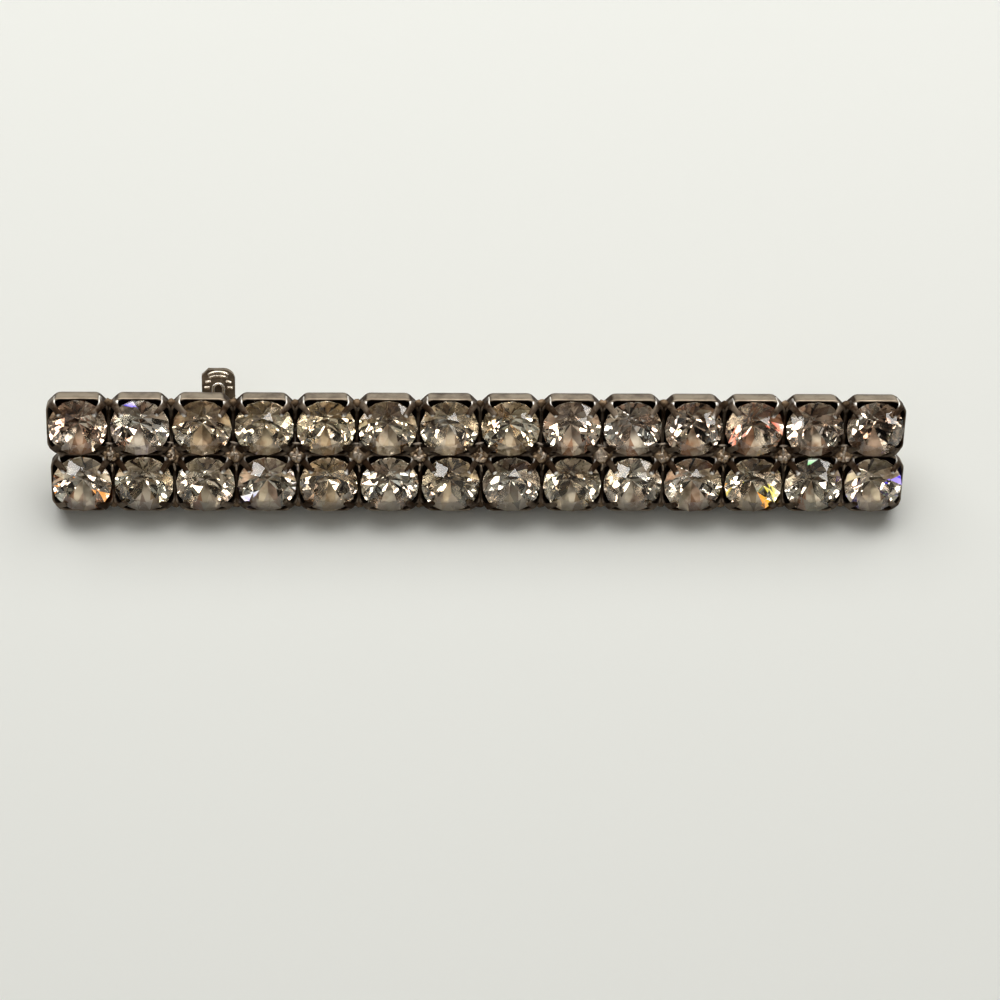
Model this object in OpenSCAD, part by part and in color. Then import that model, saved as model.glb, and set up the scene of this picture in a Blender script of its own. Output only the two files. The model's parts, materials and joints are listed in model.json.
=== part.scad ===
// Bar brooch: rows of round cut stones, each held by four prongs in a square metal cup.
// The cups are soldered edge to edge, with a catch and a hinged pin on the back.
// Millimetres. +X runs along the bar and +Z is up. The brooch lies on its back, as it does
// on a table: on the lower edge of the cups, the catch and the hinge bracket.
// Shapes are drawn in the face's own frame: x along the bar, y up the face, z out of the
// face, with the cups' rims at z = 0.

/* [Bar] */
// Number of cups along the bar
columns = 14; // [6:2:18]
// Number of rows of cups
rows = 2; // [2:1:2]
// Distance between the centres of two cups
pitch = 4.6; // [4.5:0.05:4.8]
// How far the lower row is soldered to the right of the upper one
row_offset = 0.2; // [0:0.05:0.25]

/* [Cup] */
// Depth of a cup from its rim to its back
cup_depth = 2.15; // [2.05:0.05:2.6]
// Thickness of the cup's sheet metal
wall = 0.16; // [0.14:0.01:0.2]
// Size of the cut corner that each prong grows from
corner_cut = 0.75; // [0.6:0.05:0.85]
// Depth of the upright part of the wall, before it curves in to the back
upright_depth = 1.15; // [0.9:0.05:1.3]

/* [Prongs] */
// Width of a prong where it leaves the cup
prong_root_w = 0.9; // [0.7:0.05:1]
// Width of a prong near its end
prong_tip_w = 0.54; // [0.4:0.02:0.6]
// Thickness of a prong
prong_t = 0.18; // [0.14:0.01:0.22]
// Distance from the cup's centre to the prong's end
prong_reach = 1.84; // [1.7:0.02:1.9]

/* [Stone] */
// Diameter of a stone at its girdle
stone_d = 4.4; // [4.3:0.02:4.42]
// Share of the diameter that the table takes
table_share = 0.52; // [0.45:0.01:0.6]
// Height of the crown above the girdle
crown_h = 0.75; // [0.65:0.01:0.8]
// Thickness of the girdle
girdle_t = 0.2; // [0.15:0.01:0.25]
// Depth of the pavilion below the girdle
pavilion_h = 1.9; // [1.8:0.01:1.92]
// Height of the girdle's lower edge above the cup's rim
girdle_lift = 0.08; // [0.07:0.01:0.12]

/* [Pin and catch] */
// Height of the pin's line up the face, from the middle of the bar
pin_up = 1.4; // [1.2:0.1:1.8]
// Distance of the pin's line behind the backs of the cups
pin_behind = 2.5; // [2.4:0.1:2.9]
// Diameter of the pin
pin_d = 0.84; // [0.7:0.02:0.9]
// Place of the catch along the bar
catch_x = -19.7; // [-20.5:0.1:-17]
// Place of the hinge along the bar
hinge_x = 20.7; // [18:0.1:21]
// Outer radius of the catch's housing
housing_r = 1.6; // [1.5:0.05:1.7]
// Length of the catch's housing along the pin
housing_w = 2.1; // [1.9:0.1:2.3]
// Width of the lever's thumb tab
tab_w = 2.5; // [2.2:0.1:2.8]
// Distance from the pin's line to the tab's top
tab_reach = 3.65; // [3.3:0.05:3.9]

/* [Hidden] */
// Running gap round the lever, and the gap under what sits loose
gap = 0.05;
// Overlap of pieces that are drawn into one another
lap = 0.02;

// Cups
half_pitch = pitch / 2;
inner_half = half_pitch - wall;
corner_plane = (pitch - corner_cut) / sqrt(2);
inner_cut = 2 * inner_half - (corner_plane - wall) * sqrt(2);
back_step = 0.45;
back_inset = 0.3;
back_taper = 0.85;
pocket_depth = upright_depth - 0.05;
seat_top_r = inner_half - 0.14;
seat_low_r = 1.1;
floor_t = 0.15;
seat_t = cup_depth - floor_t - pocket_depth;

// Solder that closes the hole between four cups
web_w = corner_cut * sqrt(2) + 0.08;
web_top = -0.4;
web_t = 0.6;

// Stones
girdle_r = stone_d / 2;
girdle_low = girdle_lift;
girdle_high = girdle_lift + girdle_t;
table_r = table_share * girdle_r;
table_z = girdle_high + crown_h;
culet_z = girdle_low - pavilion_h;
facets = 8;
half_facet = 180 / facets;
star_r = (table_r * cos(half_facet) + girdle_r) / 2;
crown_slope = crown_h / (girdle_r - table_r);
star_z = table_z - (star_r * cos(half_facet) - table_r) * crown_slope;
lower_r = 0.9;
pavilion_slope = pavilion_h / girdle_r;
lower_z = culet_z + lower_r * cos(half_facet) * pavilion_slope;

// Prongs lie just over the steepest part of the crown
prong_slope = (star_z - girdle_high) / (girdle_r - star_r);
prong_rise = prong_t * sqrt(1 + prong_slope * prong_slope);
prong_foot = -0.35;
// The bend over the corner and the rounded end, as points along the prong and their drops
bend_run = 0.1;
bend_drop = 0.04;
corner_drop = 0.12;
end_run = 0.12;
tip_run = 0.2;
nose_run = 0.03;

// Pin, catch and hinge
pin_z = -(cup_depth + pin_behind);
pin_r = pin_d / 2;
pad_t = 0.4;
pad_w = 3.2;
neck_w = 1.8;
neck_clear = 0.15;
housing_bore_r = 1.22;
housing_open = [-25, 115];
rotor_r = housing_bore_r - gap;
rotor_bore_r = 0.64;
rotor_open = [-125, -25];
flange_r = 1.42;
flange_t = 0.15;
tab_t = 0.42;
tab_root = 0.8;
tab_corner_r = 0.85;
tab_worn_corner = 0.5;
ear_t = 0.42;
ear_space = 0.9;
ear_half = ear_space / 2 + ear_t;
rivet_r = 0.38;
eye_r = 0.95;
eye_t = ear_space - 4 * gap;
rivet_head_r = 0.62;
rivet_head_t = 0.22;
pin_past_catch = 2.6;
point_len = 3.2;
point_r = 0.12;

// Relief on the thumb tab, by distance from the pin's line
ridge_r = 0.13;
grip_r = 1.45;
grips = [[tab_reach - 0.17, 32], [tab_reach - 0.47, 28]];
stub_table = [
    // inner x, outer x, distance, drop of the outer end
    [0.56, 0.95, 2.74, 0.1],
    [0.66, 1.06, 2.22, 0.02]
];
window_w = 0.53;
window_top = 2.42;
window_low = 1.7;
rim_r = 0.12;

// The brooch rests on the lower edge of the cups' backs, the housing and the bracket's ears
corner_y = -(rows * half_pitch - back_taper);
corner_z = -cup_depth;
rest_run = pin_up - corner_y;
rest_rise = corner_z - pin_z;
tilt = atan2(rest_rise, rest_run) + asin(housing_r / norm([rest_run, rest_rise]));
ear_r = (housing_r - ear_half * sin(tilt)) / cos(tilt);

// Where a point of the face's frame goes once the brooch is laid down
function rest_y(y, z) = y * cos(tilt) - z * sin(tilt);
function rest_z(y, z) = y * sin(tilt) + z * cos(tilt);

metal = [0.47, 0.42, 0.37];
pin_metal = [0.62, 0.6, 0.56];
crystal = [0.78, 0.76, 0.7];

function two_digits(n) = n < 10 ? str("0", n) : str(n);
function stone_name(r, c) = str("stone_r", r, "_c", two_digits(c));

// Row 1 is the upper one
function row_shift(r) = (r - (rows + 1) / 2) * row_offset;
function cup_x(r, c) = (c - (columns + 1) / 2) * pitch + row_shift(r);
function cup_y(r) = ((rows + 1) / 2 - r) * pitch;

// How far each stone happens to be turned in its cup
function stone_turn(r, c) = (r * 19 + c * 31) % 45;

// A ring of points of a stone
function ring(n, r, z, start = 0) = [
    for (k = [0:n - 1]) let (a = start + 360 * k / n) [r * cos(a), r * sin(a), z]
];

// Points of a stone: table, star tips, girdle's two edges, pavilion's side points and culet
stone_points = concat(
    ring(facets, table_r, table_z),
    ring(facets, star_r, star_z, half_facet),
    ring(2 * facets, girdle_r, girdle_high),
    ring(2 * facets, girdle_r, girdle_low),
    ring(facets, lower_r, lower_z, half_facet),
    [[0, 0, culet_z]]
);
table_at = 0;
star_at = facets;
high_at = 2 * facets;
low_at = 4 * facets;
side_at = 6 * facets;
culet_at = 7 * facets;
last = facets - 1;
function nxt(k) = (k + 1) % facets;
function prv(k) = (k + facets - 1) % facets;
function half_nxt(k) = (k + 1) % (2 * facets);

stone_faces = concat(
    [[for (k = [last:-1:0]) table_at + k]],
    [for (k = [0:last]) [table_at + k, table_at + nxt(k), star_at + k]],
    [for (k = [0:last]) [table_at + k, star_at + k, high_at + 2 * k, star_at + prv(k)]],
    [for (k = [0:last]) [star_at + k, high_at + 2 * k + 1, high_at + 2 * k]],
    [for (k = [0:last]) [star_at + k, high_at + half_nxt(2 * k + 1), high_at + 2 * k + 1]],
    [for (k = [0:2 * facets - 1]) [high_at + k, high_at + half_nxt(k), low_at + half_nxt(k), low_at + k]],
    [for (k = [0:last]) [side_at + k, low_at + 2 * k, low_at + 2 * k + 1]],
    [for (k = [0:last]) [side_at + k, low_at + 2 * k + 1, low_at + half_nxt(2 * k + 1)]],
    [for (k = [0:last]) [culet_at, side_at + prv(k), low_at + 2 * k, side_at + k]]
);

// Lowest and highest y of the laid brooch, and its lowest z
front_y = min([
    for (c = [1:columns]) for (k = [0:2 * facets - 1])
        rest_y(cup_y(rows) + girdle_r * sin(stone_turn(rows, c) + 360 * k / (2 * facets)), girdle_high)
]);
back_y = rest_y(pin_up + tab_reach, pin_z - tab_t / 2);
low_z = rest_z(corner_y, corner_z);

module laid() {
    translate([0, -(front_y + back_y) / 2, -low_z]) rotate([tilt, 0, 0]) children();
}

// Square with cut corners, centred on the origin
module cup_outline(half, cut) {
    polygon([
        [half, cut - half], [half, half - cut], [half - cut, half], [cut - half, half],
        [-half, half - cut], [-half, cut - half], [cut - half, -half], [half - cut, -half]
    ]);
}

// Groove between the rounded lower edges of neighbouring cups, along +X from the origin
module back_groove(length) {
    rotate([90, 0, 90]) linear_extrude(length) polygon([
        [0, -upright_depth],
        [back_inset, -upright_depth - back_step],
        [back_taper, -cup_depth],
        [back_taper, -cup_depth - 1],
        [-back_taper, -cup_depth - 1],
        [-back_taper, -cup_depth],
        [-back_inset, -upright_depth - back_step]
    ]);
}

// Sheet-metal cups as one soldered block, open at the rims
module cup_block() {
    difference() {
        union() {
            translate([0, 0, -pocket_depth]) linear_extrude(pocket_depth) difference() {
                cup_outlines(half_pitch, corner_cut);
                cup_outlines(inner_half, inner_cut);
            }
            translate([0, 0, -cup_depth]) linear_extrude(cup_depth - pocket_depth)
                cup_outlines(half_pitch, corner_cut);
        }
        for (r = [1:rows]) for (c = [1:columns])
            translate([cup_x(r, c), cup_y(r), -cup_depth + floor_t])
                cylinder(h = seat_t + lap, r1 = seat_low_r, r2 = seat_top_r, $fn = 48);
        for (r = [0:rows])
            translate([-columns * half_pitch - 1, (r - rows / 2) * pitch, 0])
                back_groove(columns * pitch + 2);
        for (r = [1:rows]) for (c = [0:columns])
            translate([(c - columns / 2) * pitch + row_shift(r), cup_y(r) - half_pitch, 0])
                rotate([0, 0, 90]) back_groove(pitch);
    }
}

// Solder in the holes between four cups, a little below the rims
module solder_webs() {
    for (r = [1:rows]) for (c = [1:columns - 1])
        translate([(c - columns / 2) * pitch + row_shift(r), 0, web_top - web_t / 2])
            rotate([0, 0, 45]) cube([web_w, web_w, web_t], center = true);
}

module cup_outlines(half, cut) {
    for (r = [1:rows]) for (c = [1:columns]) translate([cup_x(r, c), cup_y(r)]) cup_outline(half, cut);
}

// One prong along +X of its cup: a bent strip, cut to a tapered tongue with a blunt end
module prong() {
    out = corner_plane;
    inside = out - prong_t;
    end = prong_reach;
    function under(x) = girdle_high + gap + (girdle_r - x) * prong_slope;
    intersection() {
        rotate([90, 0, 0]) linear_extrude(prong_root_w, center = true) polygon([
            [inside, prong_foot],
            [out, prong_foot],
            [out, under(out) + prong_rise - corner_drop],
            [out - bend_run, under(out - bend_run) + prong_rise - bend_drop],
            [end + end_run, under(end + end_run) + prong_rise],
            [end, under(end) + prong_rise / 2],
            [end + nose_run, under(end + nose_run)],
            [inside, under(inside)]
        ]);
        translate([0, 0, -1]) linear_extrude(3) polygon([
            [out + 1, prong_root_w / 2],
            [inside, prong_root_w / 2],
            [end + tip_run, prong_tip_w / 2],
            [end, prong_tip_w / 4],
            [end, -prong_tip_w / 4],
            [end + tip_run, -prong_tip_w / 2],
            [inside, -prong_root_w / 2],
            [out + 1, -prong_root_w / 2]
        ]);
    }
}

// Sector of a ring about +Z, less what lies between two angles, as a flat shape
module ring_sector(r_out, r_in, from, to) {
    steps = 4;
    reach = 2 * r_out;
    angles = [for (k = [0:steps]) from + (to - from) * k / steps];
    difference() {
        circle(r_out, $fn = 64);
        circle(r_in, $fn = 64);
        polygon(concat([[0, 0]], [for (a = angles) reach * [cos(a), sin(a)]]));
    }
}

// Turns a flat shape about the pin's line: its x points up the face and its y behind the bar
module along_pin(x, length) {
    translate([x - length / 2, pin_up, pin_z]) multmatrix([[0, 0, 1, 0], [1, 0, 0, 0], [0, -1, 0, 0]])
        linear_extrude(length) children();
}

// Open round housing of the catch, soldered on by its pad
module catch_housing() {
    along_pin(catch_x, housing_w) {
        ring_sector(housing_r, housing_bore_r, housing_open[0], housing_open[1]);
        translate([-neck_w / 2, -pin_behind + pad_t / 2])
            square([neck_w, pin_behind - pad_t / 2 - housing_bore_r - neck_clear]);
    }
    translate([catch_x - pad_w / 2, pin_up - pad_w / 2, -cup_depth - pad_t]) cube([pad_w, pad_w, pad_t]);
}

// Two ears on a pad, drilled for the pin's rivet
module hinge_bracket() {
    for (side = [-1, 1])
        translate([hinge_x, pin_up + side * (ear_space + ear_t) / 2, pin_z]) rotate([90, 0, 0])
            linear_extrude(ear_t, center = true) difference() {
                union() {
                    circle(ear_r, $fn = 48);
                    translate([-ear_r, 0]) square([2 * ear_r, pin_behind]);
                }
                circle(rivet_r + gap, $fn = 48);
            }
    translate([hinge_x - pad_w / 2, pin_up - pad_w / 2, -cup_depth - pad_t]) cube([pad_w, pad_w, pad_t]);
}

module setting() {
    color(metal) laid() {
        cup_block();
        solder_webs();
        for (r = [1:rows]) for (c = [1:columns]) for (k = [0:3])
            translate([cup_x(r, c), cup_y(r), 0]) rotate([0, 0, 45 + 90 * k]) prong();
        catch_housing();
        hinge_bracket();
    }
}

// Pin with its point through the catch, its eye and the rivet that the eye turns on
module pin_stem() {
    color(pin_metal) laid() {
        point_x = catch_x - housing_w / 2 - pin_past_catch;
        translate([point_x + point_len, pin_up, pin_z]) rotate([0, 90, 0])
            cylinder(h = hinge_x - point_x - point_len, r = pin_r, $fn = 32);
        translate([point_x, pin_up, pin_z]) rotate([0, 90, 0])
            cylinder(h = point_len, r1 = point_r, r2 = pin_r, $fn = 32);
        translate([hinge_x, pin_up, pin_z]) rotate([90, 0, 0]) {
            cylinder(h = eye_t, r = eye_r, center = true, $fn = 48);
            cylinder(h = 2 * (ear_half + gap + lap), r = rivet_r, center = true, $fn = 48);
            for (side = [-1, 1])
                translate([0, 0, side * (ear_half + gap + rivet_head_t / 2)])
                    cylinder(h = rivet_head_t, r = rivet_head_r, center = true, $fn = 48);
        }
    }
}

// Outline of the thumb tab: x across, y outwards from the pin's line. One corner is worn off straight.
module tab_outline() {
    half = tab_w / 2;
    difference() {
        union() {
            translate([-half, tab_root]) square([tab_w, tab_reach - tab_corner_r - tab_root]);
            translate([-half, tab_root]) square([tab_w - tab_corner_r, tab_reach - tab_root]);
            translate([half - tab_corner_r, tab_reach - tab_corner_r]) circle(tab_corner_r, $fn = 64);
        }
        translate([-half, tab_reach]) rotate([0, 0, 45])
            square(tab_worn_corner * sqrt(2), center = true);
    }
}

// Raised ridge on the tab, bent to an arch of radius r about the origin
module bowed_ridge(r, half_angle, thick_r) {
    rotate([0, 0, 90 - half_angle]) rotate_extrude(angle = 2 * half_angle, $fn = 96)
        translate([r, 0]) circle(thick_r, $fn = 24);
}

module straight_ridge(from, to, thick_r) {
    run = to - from;
    translate([from[0], from[1], 0]) rotate([0, 0, atan2(run[1], run[0])]) rotate([0, 90, 0])
        cylinder(h = norm(run), r = thick_r, $fn = 24);
}

// Two bowed ridges, two short ones at each side, and the rim of the arched window
module tab_relief() {
    rim_mid = window_w / 2 + rim_r;
    arch_y = window_top - window_w / 2;
    for (grip = grips) translate([0, grip[0] - grip_r]) bowed_ridge(grip_r, grip[1], ridge_r);
    for (side = [-1, 1]) for (stub = stub_table)
        straight_ridge([side * stub[0], stub[2]], [side * stub[1], stub[2] - stub[3]], ridge_r);
    translate([0, arch_y]) bowed_ridge(rim_mid, 90, rim_r);
    for (side = [-1, 1]) straight_ridge([side * rim_mid, window_low], [side * rim_mid, arch_y], rim_r);
}

// Turning sleeve that closes the catch, with its ribbed thumb tab
module catch_lever() {
    color(metal) laid() {
        along_pin(catch_x, housing_w + 2 * (gap + flange_t))
            ring_sector(rotor_r, rotor_bore_r, rotor_open[0], rotor_open[1]);
        for (side = [-1, 1])
            along_pin(catch_x + side * (housing_w / 2 + gap + flange_t / 2), flange_t)
                ring_sector(flange_r, rotor_bore_r, rotor_open[0], rotor_open[1]);
        translate([catch_x, pin_up, pin_z]) {
            linear_extrude(tab_t, center = true) difference() {
                tab_outline();
                translate([0, window_top - window_w / 2]) circle(window_w / 2, $fn = 32);
                translate([-window_w / 2, window_low])
                    square([window_w, window_top - window_w / 2 - window_low]);
            }
            translate([0, 0, tab_t / 2]) tab_relief();
        }
    }
}

module stone(r, c) {
    color(crystal) laid() translate([cup_x(r, c), cup_y(r), 0]) rotate([0, 0, stone_turn(r, c)])
        polyhedron(stone_points, stone_faces);
}

setting();
pin_stem();
catch_lever();
for (r = [1:rows]) for (c = [1:columns])
    stone(r, c);
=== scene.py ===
"""Looks of a bar brooch: square pronged cups, foiled round stones, pin and safety catch."""

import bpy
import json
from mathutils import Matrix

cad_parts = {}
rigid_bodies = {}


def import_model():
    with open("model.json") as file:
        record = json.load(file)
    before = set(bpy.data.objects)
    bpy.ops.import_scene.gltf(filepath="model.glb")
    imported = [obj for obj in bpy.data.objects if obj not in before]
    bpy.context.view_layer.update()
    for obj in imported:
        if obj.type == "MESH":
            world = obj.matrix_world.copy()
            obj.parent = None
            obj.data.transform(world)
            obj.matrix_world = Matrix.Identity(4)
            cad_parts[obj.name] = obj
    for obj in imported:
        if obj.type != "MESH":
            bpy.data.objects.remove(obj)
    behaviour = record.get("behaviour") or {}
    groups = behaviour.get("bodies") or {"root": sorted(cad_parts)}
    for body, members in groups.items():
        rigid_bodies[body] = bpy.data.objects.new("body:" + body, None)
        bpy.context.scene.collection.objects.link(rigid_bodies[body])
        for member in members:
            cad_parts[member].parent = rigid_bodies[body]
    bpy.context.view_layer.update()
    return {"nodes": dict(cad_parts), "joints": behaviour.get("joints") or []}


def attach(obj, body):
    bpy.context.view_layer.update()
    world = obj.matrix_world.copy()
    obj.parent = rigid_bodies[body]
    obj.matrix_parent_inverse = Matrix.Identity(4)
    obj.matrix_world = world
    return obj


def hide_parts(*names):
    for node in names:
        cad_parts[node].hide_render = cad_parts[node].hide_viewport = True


bl_info = {
    "name": "Bar Brooch",
    "version": (1, 0, 0),
    "blender": (4, 5, 0),
    "location": "View3D > Sidebar > Brooch",
    "description": "Dresses the fixed frame of a bar brooch with its worn metal and foiled stones",
    "category": "Object",
}

import json
import math
import random

import bmesh
import bpy
from bpy.props import FloatProperty, FloatVectorProperty, IntProperty, PointerProperty
from mathutils import Matrix, Vector, noise

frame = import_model()

MM = 0.001
STONES = sorted(name for name in frame["nodes"] if name.startswith("stone_"))
UPPER = [name for name in STONES if name.startswith("stone_r1")]
LOWER = [name for name in STONES if name.startswith("stone_r2")]
CATCH = frame["joints"][0]
BROOCH = CATCH["parent"]
LEVER = CATCH["child"]
# Width and height of the picture, in pixels
PICTURE = 1000
# A stone's table stands this far above the rims of the cups
TABLE_ABOVE_RIM = 1.03 * MM


def middle(name):
    """The point on a stone's axis that is the mean of its corners."""
    corners = {tuple(round(c, 7) for c in v.co) for v in frame["nodes"][name].data.vertices}
    return sum((Vector(c) for c in corners), Vector()) / len(corners)


def face_frame():
    """The face's own frame: x along the bar, y up the face and z out of it."""
    along = (middle(UPPER[-1]) - middle(UPPER[0])).normalized()
    up = middle(UPPER[0]) - middle(LOWER[0])
    up = (up - along * up.dot(along)).normalized()
    out = along.cross(up)
    origin = sum((middle(name) for name in STONES), Vector()) / len(STONES)
    table = max(v.co.dot(out) for v in frame["nodes"][STONES[0]].data.vertices)
    origin += out * (table - TABLE_ABOVE_RIM - origin.dot(out))
    turned = Matrix((along, up, out)).transposed().to_4x4()
    return Matrix.Translation(origin) @ turned


FACE = face_frame()
FACE_BACK = FACE.inverted()
CENTRES = [FACE_BACK @ middle(name) for name in STONES]
COLUMNS = len(UPPER)
PITCH = (CENTRES[1] - CENTRES[0]).length
PIN_LINE = FACE_BACK @ Vector(CATCH["pos_m"])
# Half the offset between the rows, which the lower row has to the right
ROW_SHIFT = (CENTRES[COLUMNS].x - CENTRES[0].x) / 2


def length(name, description, millimetres):
    """A property that holds a length."""
    return FloatProperty(
        name=name, description=description, default=millimetres * MM, unit="LENGTH", precision=6
    )


def angle(name, description, degrees):
    """A property that holds an angle."""
    return FloatProperty(
        name=name, description=description, default=math.radians(degrees), subtype="ANGLE"
    )


def number(name, description, default):
    """A property that holds a plain number."""
    return FloatProperty(name=name, description=description, default=default)


def swatch(name, description, default):
    """A property that holds a colour."""
    return FloatVectorProperty(
        name=name, description=description, subtype="COLOR", size=3, default=default
    )


class BroochCups(bpy.types.PropertyGroup):
    """Sizes of the sheet-metal cups."""

    seam: length("Seam", "Gap between two cups", 0.0)
    wall: length("Wall", "Thickness of the sheet", 0.16)
    cut: length("Cut corner", "Size of a cut corner", 0.75)
    depth: length("Depth", "Rim to back", 2.15)
    upright: length("Upright wall", "Depth before the wall curves in", 1.1)
    twist: angle("Twist", "Most that a cup is askew", 0.25)
    dip: length("Dip", "How much lower the inner walls are beside a stone", 0.3)
    seed: IntProperty(name="Seed", description="Seed of the small irregularities", default=7)


class BroochProngs(bpy.types.PropertyGroup):
    """Sizes of the prongs."""

    root_width: length("Root width", "Width at the cup", 0.9)
    thickness: length("Thickness", "Thickness of a prong", 0.19)
    reach: length("Reach", "Distance from the cup's centre to the end", 1.74)
    sway: angle("Sway", "Most that a prong leans sideways", 9)


class BroochSolder(bpy.types.PropertyGroup):
    """Sizes of the solder between the cups."""

    web: length("Web", "Radius of the solder in the hole between four cups", 0.66)
    web_top: length("Web below the rims", "How far the solder lies below the rims", 0.05)
    bead: length("Bead", "Radius of a drop of solder on a seam", 0.15)
    lumps: IntProperty(name="Lumps", description="Lumps of solder in each hole", default=14)
    ridge: length("Ridge", "Half length of a ridge of solder", 0.3)


class BroochView(bpy.types.PropertyGroup):
    """How the camera sees the face."""

    off_normal: angle("Off the normal", "Lean of the view towards the upper edge", 25)
    yaw: angle("Yaw", "Turn of the view towards the catch's end", 3.8)
    roll: angle("Roll", "Turn of the picture about the view", 0.05)
    distance: length("Distance", "Camera to face", 220)
    lens: number("Lens", "Focal length in millimetres", 105.3)
    sensor: number("Sensor", "Width of the sensor in millimetres", 36.0)
    middle_x: number("Middle across", "Place of the face's middle in the picture, in px", 480.4)
    middle_y: number("Middle down", "Place of the face's middle in the picture, in px", 455.7)


class BroochBack(bpy.types.PropertyGroup):
    """Sizes of the fittings on the back."""

    catch_x: length("Catch", "Place of the catch along the bar", -19.7)
    hinge_x: length("Hinge", "Place of the hinge along the bar", 20.7)
    housing_radius: length("Housing radius", "Outer radius of the housing", 1.6)
    bore_radius: length("Bore radius", "Inner radius of the housing", 1.22)
    housing_width: length("Housing width", "Length of the housing along the pin", 2.1)
    neck: length("Neck", "Width of the housing's neck", 1.8)
    pad: length("Pad", "Width of a soldering pad", 3.2)
    pad_thickness: length("Pad thickness", "Thickness of a soldering pad", 0.4)
    ear_radius: length("Ear radius", "Radius of the hinge's ears", 1.37)
    ear_hole: length("Ear hole", "Radius of the rivet's hole", 0.43)
    ear_space: length("Ear space", "Distance between the ears", 0.9)
    ear_thickness: length("Ear thickness", "Thickness of an ear", 0.42)


class BroochStage(bpy.types.PropertyGroup):
    """The light on the brooch."""

    room: number("Room", "Strength of the room's light", 0.6)
    patch_scale: number("Patches", "Fineness of the room's bright and dark patches", 3.2)
    key_power: number("Windows", "Power of the windows in watts", 3.2)
    key_rise: angle("Window rise", "Height of the windows above the floor", 45)
    key_distance: length("Window distance", "Distance of the windows", 520)
    key_spread: angle("Window spread", "Turn of each window from the middle", 27)
    lamps: number("Lamps", "Strength of the small lamps that make the sparkles", 0.58)


class BroochFinish(bpy.types.PropertyGroup):
    """Colours of the finishes."""

    metal: swatch("Worn metal", "Colour of the rubbed plating", (0.64, 0.53, 0.4))
    # The tarnish colour is also the painted shade in the gaps between the cups
    tarnish_and_shade: swatch("Tarnish and shade", "Colour of the tarnish in the gaps", (0.04, 0.023, 0.013))
    solder: swatch("Solder", "Colour of the solder between the cups", (0.6, 0.43, 0.27))
    steel: swatch("Pin steel", "Colour of the pin", (0.55, 0.53, 0.5))
    glass: swatch("Stone glass", "Tint of the stones", (0.93, 0.9, 0.83))
    lever: swatch("Lever", "Colour of the lever's rubbed plating", (0.6, 0.5, 0.37))
    floor: swatch("Floor", "Colour of the floor", (0.87, 0.885, 0.85))


def link(obj):
    """Puts a new object in the scene."""
    bpy.context.scene.collection.objects.link(obj)
    return obj


def shell_object(name, shell, smooth=False):
    """A bmesh as a linked object at the origin, with its faces pointing outwards."""
    bmesh.ops.recalc_face_normals(shell, faces=shell.faces)
    mesh = bpy.data.meshes.new(name)
    shell.to_mesh(mesh)
    shell.free()
    if smooth:
        mesh.polygons.foreach_set("use_smooth", [True] * len(mesh.polygons))
    return link(bpy.data.objects.new(name, mesh))


def mesh_object(name, points, faces):
    """Points and faces as a smooth linked object."""
    mesh = bpy.data.meshes.new(name + "_parts")
    mesh.from_pydata([tuple(p) for p in points], [], faces)
    shell = bmesh.new()
    shell.from_mesh(mesh)
    bpy.data.meshes.remove(mesh)
    bmesh.ops.remove_doubles(shell, verts=shell.verts, dist=1e-7)
    return shell_object(name, shell, smooth=True)


def loft(rings):
    """Points and faces of a skin over rings of equally many points, with both ends closed."""
    count = len(rings[0])
    points = [p for ring in rings for p in ring]
    faces = [tuple(range(count)), tuple(range(len(points) - count, len(points)))]
    for r in range(len(rings) - 1):
        for k in range(count):
            a = r * count + k
            b = r * count + (k + 1) % count
            faces.append((a, b, b + count, a + count))
    return points, faces


def rounded(corners, size):
    """A closed outline with each corner rounded over a distance of size along its sides."""
    parts = 4
    out = []
    for k, corner in enumerate(corners):
        before = corners[k - 1]
        after = corners[(k + 1) % len(corners)]
        start = corner + (before - corner).normalized() * min(size, (before - corner).length / 2)
        end = corner + (after - corner).normalized() * min(size, (after - corner).length / 2)
        for s in range(parts + 1):
            t = s / parts
            out.append(start * (1 - t) ** 2 + corner * 2 * t * (1 - t) + end * t * t)
    return out


def cup_ring(cups, half, inset, z, soft):
    """The cup's outline, moved in by inset, at height z."""
    least_cut = 0.12 * MM
    side = half - inset
    plane = (2 * half - cups.cut) / math.sqrt(2) - inset
    cut = max(2 * side - plane * math.sqrt(2), least_cut)
    flat = side - cut
    corners = []
    for quarter in range(4):
        turn = Matrix.Rotation(math.radians(90 * quarter), 2)
        corners += [turn @ Vector((side, -flat)), turn @ Vector((side, flat))]
    return [Vector((p.x, p.y, z)) for p in rounded(corners, soft)]


def cup_master(cups):
    """One cup: an open, thin-walled pressing with a rolled rim and a rounded back."""
    half = (PITCH - cups.seam) / 2
    soft = 0.28 * MM
    w, d, u = cups.wall / MM, cups.depth / MM, cups.upright / MM
    base = d - u
    # Inset from the outline and height in mm, from the inside over the rim to the back
    profile = (
        (0.95, w - d), (0.62, -u - base * 0.62), (w + 0.1, -u - base * 0.2), (w, -u * 0.9),
        (w, -0.05), (w * 0.8, -0.012), (w * 0.5, 0), (w * 0.2, -0.012), (0, -0.06),
        (0, -0.35), (0, -0.7), (0, -u), (0.08, -u - base * 0.3), (0.42, -u - base * 0.6),
        (0.73, -u - base * 0.87), (0.88, -d),
    )
    rings = [cup_ring(cups, half, inset * MM, z * MM, soft) for inset, z in profile]
    return mesh_object("cup_master", *loft(rings))


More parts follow.
